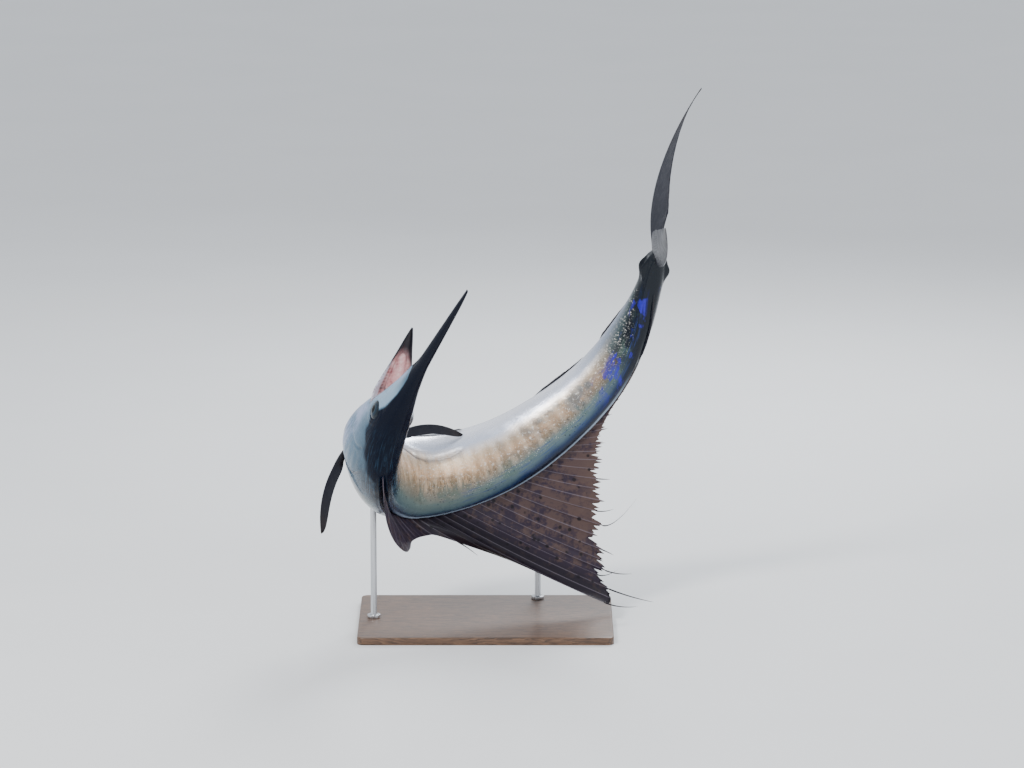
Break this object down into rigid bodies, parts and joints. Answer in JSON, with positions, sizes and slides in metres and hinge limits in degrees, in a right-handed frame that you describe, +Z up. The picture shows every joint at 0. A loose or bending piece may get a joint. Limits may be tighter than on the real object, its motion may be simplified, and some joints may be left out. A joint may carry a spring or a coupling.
{
  "type": "leaping sailfish model",
  "caption": "Life-size still sailfish bent in a leap, belly up with the tall fin hanging down, held by slim upright rods on a flat display base.",
  "frame": {"origin": "middle of the underside of the display base", "axes": "+Z up; -Y towards the viewer of the reference picture; +X from the head end towards the tail end"},
  "size_m": [1.1214, 1.1497, 1.5196],
  "materials": {
    "dark_skin": "wet gloss navy black",
    "silver_skin": "wet gloss silver",
    "flank_skin": "wet gloss, silver belly, bronze flank and blue-black back",
    "mouth_lining": "moist pink",
    "eye": "high gloss",
    "sail_skin": "wet dark brown skin between ridged rays",
    "fin_skin": "wet dark brown with fine rays",
    "stand_rod": "brushed",
    "stand_base": "dark satin"
  },
  "bodies": {
    "root": {"bill": "dark_skin", "head": "dark_skin", "throat": "silver_skin", "lower_jaw": "silver_skin", "tongue": "mouth_lining", "eye_left": "eye", "eye_right": "eye", "gill_cover_left": "silver_skin", "gill_cover_right": "silver_skin", "trunk_front": "flank_skin", "trunk_shoulder": "flank_skin", "trunk_middle": "flank_skin", "trunk_waist": "flank_skin", "trunk_rear": "flank_skin", "tail_root": "flank_skin", "tail_stalk": "flank_skin", "sail_front": "sail_skin", "sail_fore": "sail_skin", "sail_middle": "sail_skin", "sail_aft": "sail_skin", "sail_rear": "sail_skin", "second_dorsal_fin": "fin_skin", "anal_fin_first": "fin_skin", "anal_fin_second": "fin_skin", "pectoral_fin_left": "fin_skin", "pectoral_fin_right": "fin_skin", "pelvic_fin_left": "fin_skin", "pelvic_fin_right": "fin_skin", "tail_fin_upper": "fin_skin", "tail_fin_lower": "fin_skin", "stand_rod_front": "stand_rod", "stand_rod_rear": "stand_rod", "stand_base": "stand_base"}
  },
  "joints": []
}
